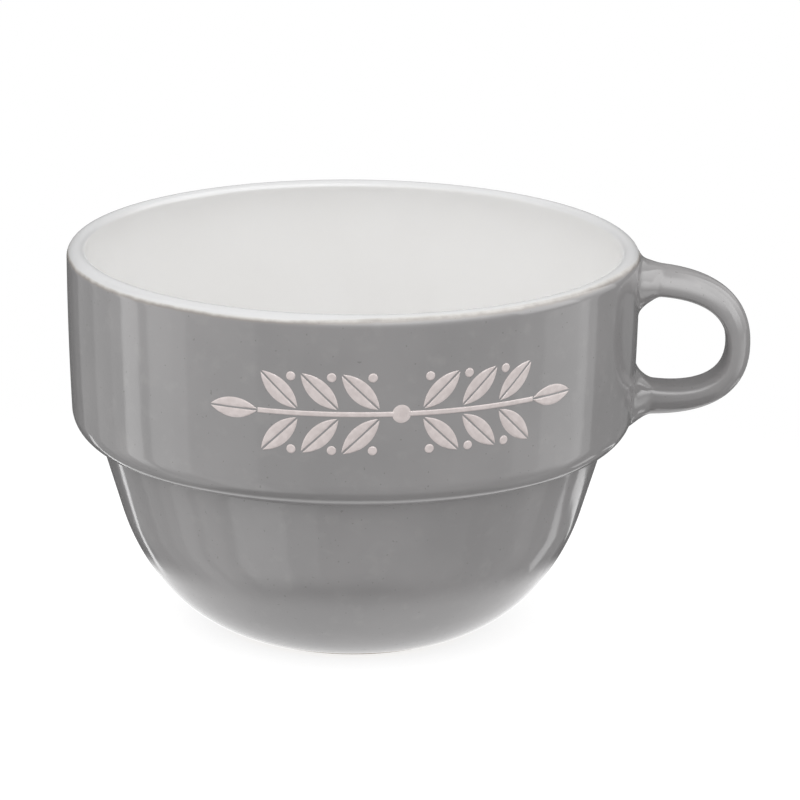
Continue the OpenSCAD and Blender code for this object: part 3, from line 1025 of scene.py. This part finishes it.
floor_mesh = bpy.data.meshes.new("floor")
floor_points = [Vector((FLOOR_R * i / FLOOR_RINGS * math.cos(math.tau * j / FLOOR_SIDES),
                        FLOOR_R * i / FLOOR_RINGS * math.sin(math.tau * j / FLOOR_SIDES), 0)) * MM
                for i in range(1, FLOOR_RINGS + 1) for j in range(FLOOR_SIDES)]
floor_faces = [(i * FLOOR_SIDES + j, i * FLOOR_SIDES + (j + 1) % FLOOR_SIDES,
                (i + 1) * FLOOR_SIDES + (j + 1) % FLOOR_SIDES, (i + 1) * FLOOR_SIDES + j)
               for i in range(FLOOR_RINGS - 1) for j in range(FLOOR_SIDES)]
floor_faces.append(tuple(range(FLOOR_SIDES)))
floor_mesh.from_pydata(floor_points, [], floor_faces)
floor_mesh.materials.append(floor_material())
floor = bpy.data.objects.new("floor", floor_mesh)
scene.collection.objects.link(floor)
print("floor disc is", 2 * FLOOR_R, "mm across")

# %% [markdown]
# ## The studio: world
# The world is plain white to the camera and in reflections, like the inside of a light tent.
# To diffuse light it is brighter overhead than at the horizon. An even white world would be
# simpler, but then the shoulder would throw no soft dark band on the bowl.

# %% World
SKY_LIGHT = 1.27
HORIZON_LIGHT = 0.64
SKY_FROM, SKY_TO = math.sin(math.radians(8)), math.sin(math.radians(45))
world = bpy.data.worlds.new("studio")
world.use_nodes = True
scene.world = world
tree = world.node_tree
soft = tree.nodes["Background"]
soft.inputs["Color"].default_value = (1, 1, 1, 1)
direction = tree.nodes.new("ShaderNodeTexCoord")
height = tree.nodes.new("ShaderNodeSeparateXYZ")
tree.links.new(direction.outputs["Generated"], height.inputs[0])
gradient = tree.nodes.new("ShaderNodeMapRange")
gradient.interpolation_type = "SMOOTHSTEP"
for socket, value in (("From Min", SKY_FROM), ("From Max", SKY_TO),
                      ("To Min", HORIZON_LIGHT), ("To Max", SKY_LIGHT)):
    gradient.inputs[socket].default_value = value
tree.links.new(height.outputs["Z"], gradient.inputs["Value"])
tree.links.new(gradient.outputs["Result"], soft.inputs["Strength"])
shown = tree.nodes.new("ShaderNodeBackground")
shown.inputs["Color"].default_value = (1, 1, 1, 1)
shown.inputs["Strength"].default_value = 1
choose = tree.nodes.new("ShaderNodeMixShader")
direct = ray_kind(tree, "Is Camera Ray", "Is Glossy Ray", "Is Transmission Ray")
tree.links.new(direct, choose.inputs[0])
tree.links.new(soft.outputs[0], choose.inputs[1])
tree.links.new(shown.outputs[0], choose.inputs[2])
tree.links.new(choose.outputs[0], tree.nodes["World Output"].inputs["Surface"])
print("the sky lights at", SKY_LIGHT, "and the horizon at", HORIZON_LIGHT)

# %% [markdown]
# ## The studio: panels
# A glazed cup shows its studio. The bright upright bands on the collar are tall softboxes at
# the sides, the shine on the lip and on the handle comes from softboxes hung higher, and the
# dark rims at the edges are black flags behind the cup. Area lamps could do it, but they would
# light the cup as well. Here each one is a curved card round the cup that only reflections can
# see, so it shapes the gloss without adding light. Angles are measured from the camera's side,
# positive towards the handle.

# %% Panels that only reflections see
PANEL_R = 600
PANEL_EYE = 40
LOW = -84
FADE_FROM, FADE_TO = -22, -38
DARK_FROM, DARK_TO = -48, -64
PANELS = (
    # name, from, to, lowest and highest elevation in degrees, brightness above and below
    ("left_side_card", -121, -108, LOW, 30, 0.85, 0.6),
    ("left_softbox_edge", -108, -100, LOW, 30, 1.1, 0.8),
    ("left_softbox", -100, -90, LOW, 30, 2.6, 1.2),
    ("left_gap", -90, -85, LOW, 30, 1.3, 0.9),
    ("left_front_softbox", -85, -73, LOW, 30, 2.2, 1.2),
    ("left_front_edge", -73, -66, LOW, 30, 2.0, 1.0),
    ("left_front_fill", -66, -36, LOW, 20, 1.4, 1.7),
    ("front_left_card", -36, -18, LOW, -2, 1.0, 1.2),
    ("front_card", -18, 40, LOW, -2, 0.8, 0.8),
    ("right_front_fill", 40, 66, LOW, 20, 0.9, 0.7),
    ("right_softbox_edge", 66, 79, LOW, 30, 1.3, 0.5),
    ("right_softbox", 79, 98, LOW, 30, 1.8, 0.6),
    ("right_softbox_core", 98, 104, LOW, 30, 2.0, 0.7),
    ("right_softbox_end", 104, 110, LOW, 30, 1.1, 0.6),
    ("right_side_card", 110, 128, LOW, 30, 0.35, 0.4),
    ("right_back_card", 128, 150, LOW, 30, 0.3, 0.3),
    ("back_flag", 150, 214, -33, 30, 0.12, 0.12),
    ("left_back_card", -146, -138, LOW, 30, 0.2, 0.3),
    ("left_flag_edge", -138, -121, LOW, 30, 0.5, 0.4),
    ("upper_back_card", 146, 251, 30, 70, 0.2, 0.2),
)
STRIPS = (
    # name, width in degrees, brightness, path of (azimuth, elevation)
    ("left_rod", 3.2, 2.0, ((-134, -20), (-137, -24), (-142, -27), (-145, -30),
                            (-148, -31.8), (-152, -32.6), (-157, -33.2))),
    ("right_rod", 1.3, 1.4, ((136, -27.5), (143, -26), (150, -24.8), (156, -25.6))),
    ("right_low_card", 9, 1.3, ((125, -34.5), (134, -34.5))),
)
KEYS = (
    # name, from, to, elevations at which it begins and is full, brightness
    ("left_key", -109, -50, 6, 36, 1.8),
    ("left_front_key", -50, -12, 6, 36, 3.0),
    ("front_key", -12, 10, 6, 38, 4.6),
    ("right_front_key", 10, 66, 6, 40, 5.4),
    ("right_key", 66, 96, -6, 20, 4.6),
    ("right_side_key", 96, 122, -2, 30, 3.4),
    ("right_back_key", 122, 146, 10, 36, 0.9),
)
KEY_EASE_FROM, KEY_EASE_TO, KEY_TOP = 52, 72, 80
KEY_TOP_SHARE = 0.2
STRIP_R = 590
KEY_R = 580
BAND_STEP = 3
UNDER_STEP = 12
UNDER_LIGHT = 0.05
NADIR = -89.9


def panel_height(rise):
    return (PANEL_EYE + PANEL_R * math.tan(math.radians(rise))) * MM


def panel(name, start, end, low, high, brightness, low_brightness):
    """A curved card at PANEL_R round the cup that only glossy rays see."""
    glow = Shading(name)
    share = height_ramp(glow, FADE_TO, FADE_FROM)
    strength = glow.math("ADD", low_brightness,
                         glow.math("MULTIPLY", share, brightness - low_brightness))
    strength = glow.math("MULTIPLY", height_ramp(glow, DARK_TO, DARK_FROM), strength)
    hang(name, band(start, end, low, high), PANEL_R, glow, strength)


def key(name, start, end, low, full, brightness):
    """A softbox above the rim's height that fades out downwards and dims towards its top."""
    glow = Shading(name)
    top = glow.math("ADD", KEY_TOP_SHARE,
                    glow.math("MULTIPLY", height_ramp(glow, KEY_EASE_TO, KEY_EASE_FROM),
                              1 - KEY_TOP_SHARE))
    share = glow.math("MULTIPLY", height_ramp(glow, low, full), top)
    strength = glow.math("ADD", 1, glow.math("MULTIPLY", share, brightness - 1))
    hang(name, band(start, end, low, KEY_TOP), KEY_R, glow, strength)


def strip(name, width, brightness, path):
    """A narrow bright strip along a path of azimuths and elevations."""
    path = [Vector(spot) for spot in path]
    pairs = []
    for i, spot in enumerate(path):
        along = path[min(i + 1, len(path) - 1)] - path[max(i - 1, 0)]
        across = Vector((-along.y, along.x)).normalized() * width / 2
        pairs.append((spot - across, spot + across))
    glow = Shading(name)
    hang(name, pairs, STRIP_R, glow, brightness)


def height_ramp(glow, low, high):
    """0 below the low elevation, 1 above the high one."""
    height = glow.add("ShaderNodeSeparateXYZ")
    glow.join(glow.place, height.inputs[0])
    return glow.ramp(height.outputs["Z"], panel_height(low), panel_height(high))


def band(start, end, low, high):
    """Pairs of (azimuth, elevation) along a band round the cup."""
    steps = max(2, math.ceil((end - start) / BAND_STEP))
    turns = [start + (end - start) * i / steps for i in range(steps + 1)]
    return [((turn, low), (turn, high)) for turn in turns]


def hang(name, pairs, radius, glow, strength):
    """Hangs a curved card between pairs of (azimuth, elevation), for glossy rays only."""
    points = []
    for pair in pairs:
        for azimuth, rise in pair:
            turn = math.radians(azimuth)
            points.append(Vector((radius * MM * math.sin(turn), -radius * MM * math.cos(turn),
                                  panel_height(rise))))
    faces = [(2 * i, 2 * i + 2, 2 * i + 3, 2 * i + 1) for i in range(len(pairs) - 1)]
    mesh = bpy.data.meshes.new(name)
    mesh.from_pydata(points, [], faces)
    light = glow.add("ShaderNodeEmission")
    if isinstance(strength, (int, float)):
        light.inputs["Strength"].default_value = strength
    else:
        glow.join(strength, light.inputs["Strength"])
    glow.join(light.outputs[0], glow.tree.nodes["Material Output"].inputs["Surface"])
    mesh.materials.append(glow.material)
    card = bpy.data.objects.new(name, mesh)
    scene.collection.objects.link(card)
    card.visible_camera = False
    card.visible_diffuse = False
    card.visible_transmission = False
    card.visible_shadow = False


for values in PANELS:
    panel(*values)
for values in STRIPS:
    strip(*values)
for values in KEYS:
    key(*values)
hang("under_card", [((turn, LOW), (0, NADIR)) for turn in range(0, 361, UNDER_STEP)],
     PANEL_R, Shading("under_card"), UNDER_LIGHT)
print(len(PANELS) + len(STRIPS) + len(KEYS) + 1, "cards")

# %% [markdown]
# ## The studio: lamps
# Catalogue pictures like this are taken in a tent of white cloth, so nearly all the light is
# the world's own: it comes from everywhere above, and the shoulder throws its soft dark band
# on the bowl by keeping half of it off. A strong key light is the usual way, but it would draw a
# hard edge inside the cup. So a weak lamp on the left gives the form a side, and a much weaker
# disc in the mouth evens out the white inside, where light bounces about in the tent.

# %% Lamps
MOUTH_LIFT = 0.5


def soft_lamp(name, place, aim, size, power):
    """A disc lamp that only diffuse light shows."""
    data = bpy.data.lights.new(name, "AREA")
    data.shape = "DISK"
    data.size = size * MM
    data.energy = power
    lamp = bpy.data.objects.new(name, data)
    lamp.location = Vector(place) * MM
    lamp.rotation_euler = (Vector(aim) - Vector(place)).to_track_quat("-Z", "Y").to_euler()
    scene.collection.objects.link(lamp)
    lamp.visible_camera = False
    lamp.visible_glossy = False
    return lamp


soft_lamp("side_lamp", (-250, -650, 700), (0, 0, 40), 500, 0.9)
soft_lamp("mouth_fill", (0, 0, CUP_H + MOUTH_LIFT), (0, 0.1, 0), 90, 0.0135)
